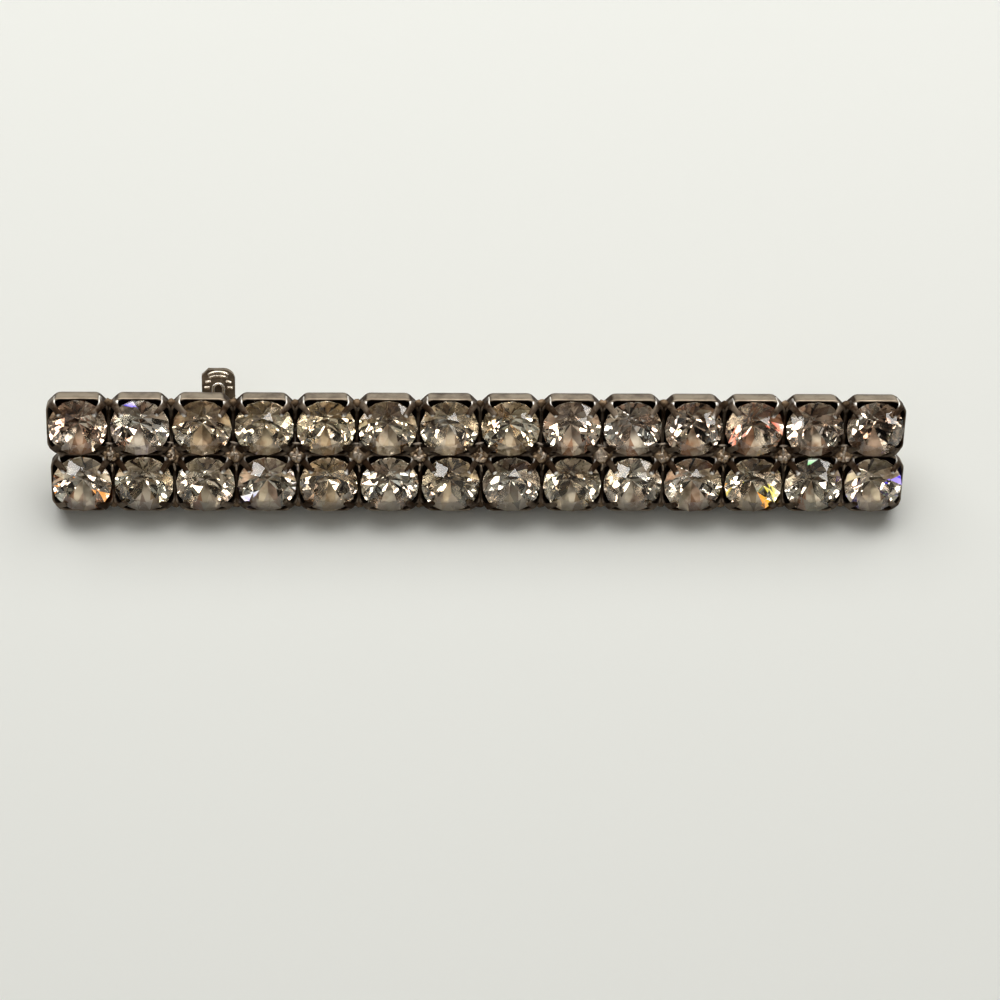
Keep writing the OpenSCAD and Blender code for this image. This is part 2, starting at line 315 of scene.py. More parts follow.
def prong_master(prongs, cups):
    """One prong, from its foot at the origin in along -X and over the crown."""
    proud = 0.012 * MM
    foot = (PITCH - cups.seam - cups.cut) / math.sqrt(2) - prongs.thickness / 2 + proud
    # The stone's girdle, as a radius and a height, and the slope of its crown
    girdle = Vector((2.2 * MM, 0.28 * MM))
    slope = 0.864
    gap = 0.04 * MM
    clear = gap + prongs.thickness / 2 * math.hypot(1, slope)

    def over(r):
        """The height at which a prong clears the crown at a distance from the axis."""
        return girdle.y + clear + (girdle.x - r) * slope

    # Distance from the cup's axis, height above the rim, and width and thickness as shares
    path = [
        (foot, -0.75 * MM, 1.0, 1.0),
        (foot, -0.3 * MM, 1.0, 1.0),
        (foot + 0.012 * MM, -0.1 * MM, 0.97, 1.0),
        (foot, 0.03 * MM, 0.84, 1.0),
        (foot - 0.05 * MM, 0.13 * MM, 0.7, 1.05),
    ]
    tip = prongs.reach / MM
    # The part over the stone: distance and lift in mm, and the same shares
    for r, lift, wide, thick in (
        (2.5, 0.015, 0.6, 1.12), (2.36, 0.01, 0.55, 1.15), (2.2, 0, 0.52, 1.15),
        (2.05, 0, 0.51, 1.2), (tip + 0.13, 0.01, 0.5, 1.3), (tip + 0.07, 0.008, 0.45, 1.25),
        (tip + 0.025, -0.004, 0.34, 1.0), (tip, -0.015, 0.18, 0.6),
    ):
        path.append((r * MM, over(r * MM) + lift * MM, wide, thick))
    rings = []
    sides, squareness, flatness = 14, 0.7, 0.85
    for k, (r, z, wide, thick) in enumerate(path):
        ahead = path[min(k + 1, len(path) - 1)]
        behind = path[max(k - 1, 0)]
        run = Vector((ahead[0] - behind[0], 0, ahead[1] - behind[1])).normalized()
        normal = Vector((run.z, 0, -run.x))
        ring = []
        for side in range(sides):
            a = 2 * math.pi * side / sides
            across = math.copysign(abs(math.cos(a)) ** squareness, math.cos(a)) * wide / 2
            above = math.copysign(abs(math.sin(a)) ** flatness, math.sin(a)) * thick / 2
            spot = Vector((r - foot, across * prongs.root_width, z))
            ring.append(spot + normal * above * prongs.thickness)
        rings.append(ring)
    return mesh_object("prong_master", *loft(rings)), foot


def solder_master(name, size):
    """A lump of solder with the given half sizes, in metres, to be scaled down."""
    offset = Vector((3, 1, 7))
    drop = bmesh.new()
    bmesh.ops.create_icosphere(drop, subdivisions=3, radius=1)
    for v in drop.verts:
        coarse, fine = noise.noise(v.co * 1.6 + offset), noise.noise(v.co * 4)
        v.co *= 1 + coarse * 0.3 + fine * 0.12
        v.co = Vector(a * b for a, b in zip(v.co, size))
    return shell_object(name, drop, smooth=True)


class Tree:
    """A geometry or shader node tree under construction."""

    def __init__(self, tree):
        self.tree = tree

    def feed(self, target, source):
        """Joins an input to a socket, or sets it to a plain value."""
        if isinstance(source, bpy.types.NodeSocket):
            self.tree.links.new(source, target)
        else:
            target.default_value = source

    def fill(self, node, inputs):
        """Feeds the named inputs of a node."""
        for key, source in inputs.items():
            self.feed(node.inputs[key], source)

    def add(self, kind, inputs=None, **attributes):
        """A node with its attributes set and its inputs fed."""
        made = self.tree.nodes.new(kind)
        for key, value in attributes.items():
            setattr(made, key, value)
        self.fill(made, inputs or {})
        return made

    def math(self, operation, *terms, **attributes):
        """The result of a Math node on its terms."""
        terms = dict(enumerate(terms))
        return self.add("ShaderNodeMath", terms, operation=operation, **attributes).outputs[0]

    def vector(self, operation, *terms, output="Vector"):
        """The result of a Vector Math node on its terms."""
        terms = dict(enumerate(terms))
        return self.add("ShaderNodeVectorMath", terms, operation=operation).outputs[output]

    def remap(self, value, low, high, to_low=0.0, to_high=1.0, **attributes):
        """A value taken from one range to another."""
        ends = {"From Min": low, "From Max": high, "To Min": to_low, "To Max": to_high}
        return self.add("ShaderNodeMapRange", {"Value": value, **ends}, **attributes).outputs[0]

    def noise(self, place, scale, detail, **inputs):
        """The strength of a noise texture at a place."""
        inputs = {"Vector": place, "Scale": scale, "Detail": detail, **inputs}
        return self.add("ShaderNodeTexNoise", inputs).outputs["Fac"]

    def attribute(self, name, output="Fac"):
        """What the piece's mesh keeps under a name."""
        return self.add("ShaderNodeAttribute", attribute_name=name).outputs[output]

    def place(self):
        """A point's place in its piece."""
        return self.add("ShaderNodeTexCoord").outputs["Object"]

    def blend(self, factor, first, second):
        """The first colour where the factor is 0, and the second where it is 1."""
        mix = self.add("ShaderNodeMix", {"Factor": factor}, data_type="RGBA")
        colors = [s for s in mix.inputs if s.type == "RGBA"]
        self.feed(colors[0], first)
        self.feed(colors[1], second)
        return next(s for s in mix.outputs if s.type == "RGBA")

    def ramp(self, value, stops):
        """The colour that a value picks from a row of stops, each a place and a colour."""
        ramp = self.add("ShaderNodeValToRGB", {0: value})
        while len(ramp.color_ramp.elements) < len(stops):
            ramp.color_ramp.elements.new(0.5)
        for element, (at, color) in zip(ramp.color_ramp.elements, stops):
            element.position = at
            element.color = (*color, 1)
        return ramp.outputs[0]


def socket(tree, name, kind, default=None, out=False):
    """Gives a node group a named input or output."""
    in_out = "OUTPUT" if out else "INPUT"
    made = tree.interface.new_socket(name=name, in_out=in_out, socket_type="NodeSocket" + kind)
    if default is not None:
        made.default_value = default


def spread_tree(name):
    """Geometry Nodes: a copy of a master on every point, each a little askew, as one real mesh."""
    tree = bpy.data.node_groups.new(name, "GeometryNodeTree")
    socket(tree, "Geometry", "Geometry")
    socket(tree, "Master", "Object")
    for key in ("Sway", "Tilt", "Size spread"):
        socket(tree, key, "Float", 0.0)
    socket(tree, "Seed", "Int", 0)
    socket(tree, "Material", "Material")
    socket(tree, "Geometry", "Geometry", out=True)
    t = Tree(tree)
    given = t.add("NodeGroupInput").outputs
    index = t.add("GeometryNodeInputIndex").outputs[0]

    def kept(key):
        """A number that each point keeps."""
        named = t.add("GeometryNodeInputNamedAttribute", {"Name": key}, data_type="FLOAT")
        return named.outputs["Attribute"]

    def about_zero(amount, offset):
        """A number between minus and plus amount for each point."""
        lot = {"ID": index, "Seed": t.math("ADD", given["Seed"], offset)}
        pick = t.add("FunctionNodeRandomValue", lot, data_type="FLOAT")
        floats = [s for s in pick.inputs if s.type == "VALUE"]
        t.feed(floats[0], t.math("MULTIPLY", amount, -1))
        t.feed(floats[1], amount)
        return next(s for s in pick.outputs if s.type == "VALUE")

    turn = t.add("ShaderNodeCombineXYZ", {
        "X": about_zero(given["Tilt"], 1),
        "Y": about_zero(given["Tilt"], 2),
        "Z": t.math("ADD", kept("turn"), about_zero(given["Sway"], 0)),
    })
    grow = t.math("ADD", about_zero(given["Size spread"], 3), 1)
    master = t.add("GeometryNodeObjectInfo", {"Object": given["Master"]})
    copies = t.add("GeometryNodeInstanceOnPoints", {
        "Points": given["Geometry"],
        "Instance": master.outputs["Geometry"],
        "Rotation": turn.outputs[0],
        "Scale": t.math("MULTIPLY", grow, kept("size")),
    })
    real = t.add("GeometryNodeRealizeInstances", {0: copies.outputs[0]})
    paint = {"Geometry": real.outputs[0], "Material": given["Material"]}
    t.add("NodeGroupOutput", {0: t.add("GeometryNodeSetMaterial", paint).outputs[0]})
    return tree


def spread(name, master, spots, material, tree, **amounts):
    """Copies of a master as one plain mesh, on spots of a point, a turn about z and a size."""
    points, turns, sizes = zip(*spots)
    mesh = bpy.data.meshes.new(name + "_points")
    mesh.from_pydata([tuple(point) for point in points], [], [])
    mesh.attributes.new("turn", "FLOAT", "POINT").data.foreach_set("value", turns)
    mesh.attributes.new("size", "FLOAT", "POINT").data.foreach_set("value", sizes)
    carrier = link(bpy.data.objects.new(name + "_points", mesh))
    modifier = carrier.modifiers.new("spread", "NODES")
    modifier.node_group = tree
    inputs = [item for item in tree.interface.items_tree if item.in_out == "INPUT"]
    names = {item.name: item.identifier for item in inputs}
    modifier[names["Master"]] = master
    modifier[names["Material"]] = material
    for key, value in amounts.items():
        modifier[names[key.replace("_", " ").capitalize()]] = value
    bpy.context.view_layer.update()
    ready = carrier.evaluated_get(bpy.context.evaluated_depsgraph_get())
    plain = bpy.data.meshes.new_from_object(ready)
    plain.name = name
    piece = link(bpy.data.objects.new(name, plain))
    bpy.data.objects.remove(carrier)
    bpy.data.objects.remove(master)
    return piece


def lay(piece, **finish):
    """Takes a piece from the face's frame to its place, with its finish kept on its points."""
    mesh = piece.data
    for key, amount in finish.items():
        layer = mesh.attributes.new(key, "FLOAT", "POINT")
        layer.data.foreach_set("value", [amount(v.co / MM) for v in mesh.vertices])
    mesh.transform(FACE)
    return piece


def ease(value, start, end):
    """0 at start, 1 at end, and smooth between."""
    share = min(max((value - start) / (end - start), 0), 1)
    return share * share * (3 - 2 * share)


def between(first, second, share):
    """The first number where the share is 0, and the second where it is 1."""
    return first * (1 - share) + second * share


def from_cup(point):
    """How far along and up the face a point in mm is from the middle of its cup."""
    pitch = PITCH / MM
    shift = ROW_SHIFT / MM * (-1 if point.y > 0 else 1)
    off_x = abs((point.x - shift + COLUMNS * pitch / 2) % pitch - pitch / 2)
    return off_x, abs(abs(point.y) - pitch / 2)


def from_edge(point):
    """How far inside the bar's two long edges and its two ends a point in mm is."""
    return PITCH / MM - abs(point.y), COLUMNS * PITCH / MM / 2 - abs(point.x)


def wall_dip(point):
    """How far down a wall is pressed at a point in mm: 1 midway between two stones."""
    at_mid = 1 - ease(min(from_cup(point)), 0.9, 1.5)
    long_edge, end = from_edge(point)
    return at_mid * ease(long_edge, 0.3, 0.6) * ease(end, 0.3, 0.6) * ease(point.z, -0.6, -0.05)


# Grime of the cups' outer sides and backs
BACK_GRIME = 0.42


def face_grime(point):
    """How dark the cups are at a point in mm: tarnish, with painted shade that is black in the
    gaps, and cleaner outside.
    """
    cups = bpy.context.scene.brooch_cups
    pitch, cut, upright = PITCH / MM, cups.cut / MM, cups.upright / MM
    depth = -point.z
    long_edge, end = from_edge(point)
    # The upper edge is lighter right to its rim, and the other sides less so
    less = 0.4 + 0.4 * ease(depth, 0.1, 0.5)
    outside = max(
        (1 if point.y > 0 else less) * ease(-long_edge, -0.11, -0.02),
        less * ease(-end, -0.2, -0.08),
    )
    off_x, off_y = from_cup(point)
    # Painted shade: the rims and the insides of the cups go black where they lie deep between the
    # stones, a little lighter at the cut corners and above the rims
    at_corner = ease(off_x + off_y, 3.2, 3.7)
    front = between(1 - 0.35 * at_corner, 1, ease(depth, 0.03, 0.45))
    front *= 1 - 0.2 * ease(point.z, 0.05, 0.4)
    # Painted shade: a dark line where the outer walls turn away, 0.95 to 1.3 mm below the rims
    front = between(front, BACK_GRIME + 0.45 * ease(depth, 0.95, 1.3), outside)
    inset = min(pitch / 2 - max(off_x, off_y), (pitch - cut - off_x - off_y) / math.sqrt(2))
    # The outer skin of the back lies below this slope, and the inner one above it
    behind = ease(depth - upright - 1.19 * inset, -0.07, -0.01) * ease(depth, 1.42, 1.72)
    return between(front, BACK_GRIME, behind)


def coat(piece, material):
    """Gives a piece its material."""
    piece.data.materials.clear()
    piece.data.materials.append(material)


def dress(piece, material, body, slot, *nodes):
    """Gives a piece its material, its body and the CAD nodes that it stands for; the slot is not
    used.
    """
    coat(piece, material)
    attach(piece, body)
    if nodes:
        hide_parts(*nodes)


def dress_setting(piece, material, **finish):
    """Lays and dresses a piece of the soldered setting."""
    dress(lay(piece, **finish), material, BROOCH, "tarnished_metal", "setting")


def aged_metal_group():
    """Shader group: rubbed plating that goes dull and then brown with its grime and painted shade,
    and pales to a painted highlight colour on its rubbed and highlighted spots.
    """
    name = "Aged metal"
    if name in bpy.data.node_groups:
        return bpy.data.node_groups[name]
    tree = bpy.data.node_groups.new(name, "ShaderNodeTree")
    for given in (
        ("Vector", "Vector"),
        ("Clean", "Color", (0.5, 0.45, 0.4, 1)),
        ("Tarnish and shade", "Color", (0.1, 0.06, 0.03, 1)),
        # The near-white colour of the painted highlights
        ("Bright", "Color", (0.97, 0.94, 0.88, 1)),
        ("Grime and shade", "Float", 0.0),
        ("Rub and highlight", "Float", 0.0),
        ("Patch size", "Float", 700.0),
        ("Grain size", "Float", 9000.0),
    ):
        socket(tree, *given)
    for name, kind in (("Color", "Color"), ("Roughness", "Float"), ("Height", "Float")):
        socket(tree, name, kind, out=True)
    t = Tree(tree)
    given = t.add("NodeGroupInput").outputs
    patches = t.noise(given["Vector"], given["Patch size"], 4, Roughness=0.6)
    grain = t.noise(given["Vector"], given["Grain size"], 3)
    stains = t.math("MULTIPLY", t.remap(patches, 0.42, 0.72), 0.35)
    amount = t.math("ADD", given["Grime and shade"], stains, use_clamp=True)
    plating = t.blend(amount, given["Clean"], given["Tarnish and shade"])
    t.add("NodeGroupOutput", {
        "Color": t.blend(given["Rub and highlight"], plating, given["Bright"]),
        "Roughness": t.math("MULTIPLY_ADD", grain, 0.1, t.remap(amount, 0, 1, 0.16, 0.62)),
        "Height": grain,
    })
    return tree


def new_material(name, values):
    """A material with plain values on its shader, its tree and that shader."""
    material = bpy.data.materials.new(name)
    material.use_nodes = True
    t = Tree(material.node_tree)
    shader = material.node_tree.nodes["Principled BSDF"]
    t.fill(shader, values)
    return material, t, shader


def metal_material(name, clean, tarnish_and_shade, bump=0.25, grain=9000.0):
    """Worn plated metal, dark and rough where its points carry grime and painted shade, and pale
    where they carry painted highlights.
    """
    material, t, shader = new_material(name, {"Metallic": 1})
    aged = t.add("ShaderNodeGroup", node_tree=aged_metal_group())
    t.fill(aged, {
        "Vector": t.place(), "Clean": (*clean, 1), "Tarnish and shade": (*tarnish_and_shade, 1), "Grain size": grain,
        "Grime and shade": t.attribute("grime"), "Rub and highlight": t.attribute("rub"),
    })
    color, roughness, height = aged.outputs
    bumps = t.add("ShaderNodeBump", {"Strength": bump, "Distance": 0.02 * MM, "Height": height})
    t.fill(shader, {"Base Color": color, "Roughness": roughness, "Normal": bumps.outputs[0]})
    return material


def stone_lot(t, place):
    """A random number for each stone, from the cell of the bar that a point lies in."""
    offset = t.vector("SUBTRACT", place, FACE @ Vector((-COLUMNS / 2 * PITCH, -PITCH, 0)))
    counts = {}
    for k in range(2):
        cells = t.vector("DOT_PRODUCT", offset, FACE.to_3x3().col[k] / PITCH, output="Value")
        counts[k] = t.math("FLOOR", cells)
    cell = t.add("ShaderNodeCombineXYZ", counts).outputs[0]
    lot = t.add("ShaderNodeTexWhiteNoise", {"Vector": cell}, noise_dimensions="3D")
    return lot.outputs["Value"]


def crystal_material(tint):
    """Clear cut glass, each stone with its own slight cast and a faint haze in places."""
    glass = {"Transmission Weight": 1, "IOR": 1.56}
    material, t, shader = new_material("clear_crystal_cut", glass)
    place = t.place()
    casts = (
        (0.0, (0.95, 0.9, 0.8)), (0.35, tint), (0.65, (0.9, 0.91, 0.87)), (1.0, (0.95, 0.88, 0.81)),
    )
    t.fill(shader, {
        "Base Color": t.ramp(stone_lot(t, place), casts),
        "Roughness": t.remap(t.noise(place, 1500, 3), 0.55, 0.8, 0.0, 0.02),
    })
    return material


def foil_material():
    """Aged foil behind a stone: a cast for each facet, brown stains, and a painted glow of coloured
    fire on a few facets.
    """
    material, t, shader = new_material("aged_foil", {"Metallic": 1, "Emission Strength": 1.0})
    stains = t.remap(t.noise(t.place(), 900, 5), 0.5, 0.75)
    normal = t.add("ShaderNodeNewGeometry").outputs["Normal"]
    leaning = t.vector("ADD", normal, t.attribute("lean", "Vector"))
    t.fill(shader, {
        "Base Color": t.blend(stains, t.attribute("cast", "Color"), (0.16, 0.09, 0.05, 1)),
        "Roughness": t.math("MULTIPLY_ADD", stains, 0.04, t.attribute("dull")),
        "Normal": t.vector("NORMALIZE", leaning),
        # Painted fire: the chosen facets glow with coloured light
        "Emission Color": t.attribute("fire_glow", "Color"),
    })
    return material


def worn_metal():
    """The plating of the cups, the prongs and the back, made once."""
    finish = bpy.context.scene.brooch_finish
    name = "tarnished_plating"
    return bpy.data.materials.get(name) or metal_material(name, finish.metal, finish.tarnish_and_shade)


class BROOCH_OT_cups(bpy.types.Operator):
    """Presses the cups and sets them edge to edge"""

    bl_idname = "brooch.cups"
    bl_label = "Cups"

    def execute(self, context):
        cups = context.scene.brooch_cups
        spots = [((centre.x, centre.y, 0), 0.0, 1.0) for centre in CENTRES]
        piece = spread(
            "cups", cup_master(cups), spots, worn_metal(), spread_tree("Cup spread"),
            sway=cups.twist, tilt=cups.twist, size_spread=0.0, seed=cups.seed,
        )
        end = COLUMNS * PITCH / 2 + ROW_SHIFT
        for v in piece.data.vertices:
            v.co.x = min(max(v.co.x, -end), end)
            v.co.z -= cups.dip * wall_dip(v.co / MM)
        dress_setting(piece, worn_metal(), grime=face_grime)
        return {"FINISHED"}


def prong_grime(point):
    """How dark the prongs are: brown, and darkest at the upper prongs of the lower row."""
    lower_row = -PITCH / MM / 2
    return 0.82 + 0.12 * ease(-point.y, 0.0, 0.4) * ease(point.y, lower_row, lower_row + 0.4)


def prong_rub(point):
    """Painted highlights on an upper prong: a bright dot at its tip and one at its root."""
    near = min(CENTRES, key=lambda centre: (centre.xy / MM - point.xy).length)
    off_x, off_y = abs(point.x - near.x / MM), point.y - near.y / MM
    dots = ((1.28, 1.2, 0.2), (1.55, 2.12, 0.19))
    return max(
        1 - ease(math.hypot(off_x - x, off_y - y), 0.6 * size, size) for x, y, size in dots
    )


class BROOCH_OT_prongs(bpy.types.Operator):
    """Bends the four prongs of every cup over its stone"""

    bl_idname = "brooch.prongs"
    bl_label = "Prongs"

    def execute(self, context):
        prongs = context.scene.brooch_prongs
        cups = context.scene.brooch_cups
        master, foot = prong_master(prongs, cups)
        spots = []
        for centre in CENTRES:
            for quarter in range(4):
                turn = math.radians(45 + 90 * quarter)
                spot = (centre.x + foot * math.cos(turn), centre.y + foot * math.sin(turn), 0)
                spots.append((spot, turn, 1.0))
        piece = spread(
            "prongs", master, spots, worn_metal(), spread_tree("Prong spread"),
            sway=prongs.sway, tilt=0.0, size_spread=0.06, seed=cups.seed + 10,
        )
        dress_setting(piece, worn_metal(), grime=prong_grime, rub=prong_rub)
        return {"FINISHED"}


def upper_bar(point, start):
    """1 on the bars of solder at the upper end of each joint, and 0 elsewhere."""
    return ease(point.y, start, start + 0.1) * (1 - ease(point.y, 1.1, 1.2))


def solder_rub(point):
    """Painted highlights on the solder: on its tops, and fainter on the bars."""
    bar = upper_bar(point, 0.75)
    return 0.2 * bar + 0.35 * ease(point.z, 0.1, 0.2) * (1 - bar)


def solder_grime(point):
    """How dark the solder is: brown, and lighter on its tops and on the bars."""
    bar = upper_bar(point, 0.8)
    top = ease(point.z, -0.02, 0.12) * (1 - bar)
    return 0.74 - 0.58 * top - 0.29 * bar - 0.07 * ease(abs(point.y), 3.0, 3.3)


# Ridges of solder in each hole: how far right in m, how far up and out in mm, turn, length
RIDGES = (
    (-ROW_SHIFT, 0.95, 0.02, 0.0, 1.0),
    (0, 0.5, 0.15, math.pi / 2, 1.1),
    (ROW_SHIFT, -0.95, 0.08, math.pi / 2, 1.0),
    (0, -0.15, 0.16, 1.1, 0.8),
    (0, 0.1, 0.15, 2.4, 0.7),
)


class BROOCH_OT_solder(bpy.types.Operator):
    """Runs solder into the holes between four cups and drops it on the seams"""

    bl_idname = "brooch.solder"
    bl_label = "Solder"

    def execute(self, context):
        solder = context.scene.brooch_solder
        finish = context.scene.brooch_finish
        metal = metal_material("brown_solder", finish.solder, finish.tarnish_and_shade, 1.0, 4200.0)
        seed = context.scene.brooch_cups.seed + 20
        draw = random.Random(seed)
        drops = []
        ridges = []
        for k in range(1, COLUMNS):
            x = (k - COLUMNS / 2) * PITCH
            drops.append(((x, 0, -solder.web_top - solder.web * 0.5), 0.0, solder.web * 1.35))
            for lump in range(solder.lumps):
                turn = 2 * math.pi * (lump + draw.random() * 0.6) / solder.lumps
                off = draw.uniform(0.3, 0.95) * solder.web
                dome = 0.12 - 0.26 * (off / solder.web) ** 2 + draw.uniform(-0.03, 0.04)
                spot = (x + off * math.cos(turn), off * math.sin(turn), dome * MM)
                drops.append((spot, 0.0, draw.uniform(0.6, 1.5) * solder.bead))
            for row in (-1, 1):
                seam = x - row * ROW_SHIFT
                for share, size in ((0.38, 0.6), (0.5, 1.0), (0.62, 0.6)):
                    spot = (seam, row * PITCH * share, -0.24 * MM)
                    drops.append((spot, 0.0, solder.bead * size))
                # The drop in the notch at the bar's edge
                drops.append(((seam, row * (PITCH - 0.5 * MM), -0.38 * MM), 0.0, 0.34 * MM))
            for shift, y, z, turn, size in RIDGES:
                across = x + shift + draw.uniform(-0.08, 0.08) * MM
                up = (y + draw.uniform(-0.1, 0.1)) * MM
                turn += draw.uniform(-0.25, 0.25)
                size *= solder.ridge * draw.uniform(0.8, 1.1)
                ridges.append(((across, up, z * MM), turn, size))
        for k in range(COLUMNS):
            x = (k + 0.5 - COLUMNS / 2) * PITCH
            drops.append(((x, 0, -0.8 * solder.bead), 0.0, solder.bead))
        for name, spots, size, sway in (
            ("solder_drops", drops, (1, 1, 0.55), math.pi),
            ("solder_ridges", ridges, (1, 0.3, 0.3), 0.0),
        ):
            master = solder_master(name + "_master", size)
            piece = spread(
                name, master, spots, metal, spread_tree(name),
                sway=sway, tilt=0.2, size_spread=0.15, seed=seed,
            )
            dress_setting(piece, metal, grime=solder_grime, rub=solder_rub)
        return {"FINISHED"}


# Painted fire, a coloured glow that the foil gives off on some facets: row, column, the facet's
# angle in degrees, its corners' colours
BLUE = (0.05, 0.02, 1.0)
YELLOW = (1.0, 0.85, 0.05)
ORANGE = (1.0, 0.35, 0.03)
WHITE = (1.0, 1.0, 1.0)
GREEN = (0.3, 1.0, 0.35)
PAINTED_FIRE = (
    (2, 14, 5, (BLUE, BLUE, BLUE)),
    (2, 12, -28, (YELLOW, YELLOW, WHITE)),
    (2, 12, -48, (ORANGE, YELLOW, ORANGE)),
    (1, 13, 20, (YELLOW, ORANGE, WHITE)),
    (1, 12, 5, ((1.0, 0.12, 0.03), (1.0, 0.3, 0.15), WHITE)),
    (2, 1, -35, (ORANGE, ORANGE, ORANGE)),
    (2, 7, -12, (WHITE, ORANGE, YELLOW)),
    (2, 13, 100, (GREEN, WHITE, WHITE)),
    (2, 13, 215, (BLUE, WHITE, (0.3, 0.6, 1.0))),
    (2, 6, 225, (WHITE, GREEN, BLUE)),
    (2, 4, 215, (WHITE, BLUE, WHITE)),
    (1, 2, 120, (BLUE, WHITE, BLUE)),
)
# The painted fire glows on the facets within this angle of it and further out than this
GLOW_WIDTH = math.radians(8)
GLOW_START = 1.45 * MM
# Casts of the foil's facets: yellowish, with rose and brown, and silvery
CHAMPAGNE = (
    (0.86, 0.78, 0.64), (0.76, 0.66, 0.5), (0.66, 0.58, 0.44), (0.93, 0.89, 0.8), (0.5, 0.38, 0.26),
    (0.33, 0.29, 0.23), (0.94, 0.91, 0.86), (0.57, 0.53, 0.43), (0.78, 0.7, 0.57),
    (0.32, 0.22, 0.15),
)
ROSE = (
    (0.86, 0.81, 0.78), (0.58, 0.46, 0.41), (0.46, 0.27, 0.2), (0.94, 0.92, 0.91),
    (0.4, 0.37, 0.37), (0.68, 0.64, 0.6), (0.8, 0.7, 0.64), (0.3, 0.2, 0.16), (0.9, 0.86, 0.8),
)
SILVER = (
    (0.86, 0.86, 0.83), (0.62, 0.62, 0.58), (0.95, 0.94, 0.92), (0.4, 0.4, 0.37), (0.72, 0.67, 0.6),
    (0.54, 0.44, 0.39), (0.28, 0.28, 0.26), (0.8, 0.77, 0.68), (0.9, 0.88, 0.86),
)
# The yellowing and the brightness that all the foils have
WARMTH = (0.97, 0.93, 0.87)
FOIL_GAIN = 1.2
# Painted shade on the foils: for each row, how much darker the facets towards the upper and the
# lower edge are
PAINTED_FOIL_SHADE = {1: (0.1, 0.72), 2: (0.5, 0.52)}
# Roughnesses of the foil's facets, and that of those towards the lower edge
DULLS = (0.0, 0.01, 0.02, 0.03, 0.06)
LOWER_DULL = 0.3


def casts_of(row, column):
    """A foil's casts: champagne or rose in the upper row, and silver mixed with them below."""
    if row == 2:
        return SILVER + CHAMPAGNE if column in (2, 5, 7, 9, 12) else SILVER + ROSE[:3]
    return CHAMPAGNE if 3 <= column <= 8 else ROSE


def sideways(draw):
    """A drawn vector in the face's plane."""
    return Vector((draw.uniform(-1, 1), draw.uniform(-1, 1), 0))


def facet_cast_and_light(picked, row, normal, calm):
    """A facet's colour with painted light: paler at the sides as a painted highlight, darker
    towards the upper and lower edges as painted shade, and warmer towards the lower edge.
    """
    # Painted highlight: the facets that face the sides are paler
    side = ease(abs(normal.x), 0.42, 0.58)
    upper, lower = PAINTED_FOIL_SHADE[row]
    gain = FOIL_GAIN * (1 - upper * ease(normal.y, 0.35, 0.55)) * (1 - lower * calm)
    return [
        gain * warm ** (1 + 2 * calm) * between(part ** 0.85, 1, 0.5 * side)
        for part, warm in zip(picked, WARMTH)
    ]


class BROOCH_OT_foils(bpy.types.Operator):
    """Lays the foil behind the lower facets of every stone"""

    bl_idname = "brooch.foils"
    bl_label = "Foils"

    def execute(self, context):
        draw = random.Random(context.scene.brooch_cups.seed)
        points = []
        faces = []
        casts = []
        fire_glows = []
        dulls = []
        leans = []
        for name, centre in zip(STONES, CENTRES):
            row, column = int(name[7]), int(name[-2:])
            glows = [fire_glow[2:] for fire_glow in PAINTED_FIRE if fire_glow[:2] == (row, column)]
            mesh = frame["nodes"][name].data
            tone = {}
            askew = sideways(draw) * 0.045
            for face in mesh.polygons:
                corners = [FACE_BACK @ mesh.vertices[k].co for k in face.vertices]
                normal = FACE_BACK.to_3x3() @ face.normal
                if normal.z > -0.3:  # On the crown or the girdle
                    continue
                key = tuple(round(n, 2) for n in normal)
                if key not in tone:
                    calm = ease(-normal.y, 0.45, 0.6)
                    cast = facet_cast_and_light(draw.choice(casts_of(row, column)), row, normal, calm)
                    lean = askew + sideways(draw) * 0.03
                    dull = between(draw.choice(DULLS), LOWER_DULL, calm)
                    tone[key] = cast, dull, FACE.to_3x3() @ lean
                start = len(points)
                axis = Vector((centre.x, centre.y, 0))
                for share in (0.99, 0.997):
                    points += [axis + (c - axis) * share for c in corners]
                faces += [(start + 2, start + 1, start), (start + 3, start + 4, start + 5)]
                glow = [(0, 0, 0)] * 3
                heart = sum(corners, Vector()) / 3 - axis
                for angle, colors in glows:
                    off = math.atan2(heart.y, heart.x) - math.radians(angle)
                    off = (off + math.pi) % (2 * math.pi) - math.pi
                    if abs(off) < GLOW_WIDTH and heart.xy.length > GLOW_START:
                        glow = colors
                casts += [tone[key][0]] * 2
                dulls += [tone[key][1]] * 2
                leans += [tone[key][2]] * 2
                fire_glows += [*glow] * 2
        mesh = bpy.data.meshes.new("stone_foils")
        mesh.from_pydata([tuple(FACE @ p) for p in points], [], faces)
        for key, values, domain in (("cast", casts, "FACE"), ("fire_glow", fire_glows, "CORNER")):
            layer = mesh.attributes.new(key, "FLOAT_COLOR", domain)
            layer.data.foreach_set("color", [part for color in values for part in (*color, 1)])
        mesh.attributes.new("dull", "FLOAT", "FACE").data.foreach_set("value", dulls)
        layer = mesh.attributes.new("lean", "FLOAT_VECTOR", "FACE")
        layer.data.foreach_set("vector", [part for lean in leans for part in lean])
        piece = link(bpy.data.objects.new("stone_foils", mesh))
        dress(piece, foil_material(), BROOCH, "clear_crystal")
        return {"FINISHED"}


class BROOCH_OT_stones(bpy.types.Operator):
    """Polishes the stones, whose shape is the frame's own"""

    bl_idname = "brooch.stones"
    bl_label = "Stones"

    def execute(self, context):
        glass = crystal_material(context.scene.brooch_finish.glass)
        for name in STONES:
            coat(frame["nodes"][name], glass)
        return {"FINISHED"}


def box_mesh(shell, centre, half):
    """Adds a box to a bmesh."""
    place = Matrix.Translation(centre) @ Matrix.Diagonal((*half * 2, 1))
    bmesh.ops.create_cube(shell, size=1, matrix=place)


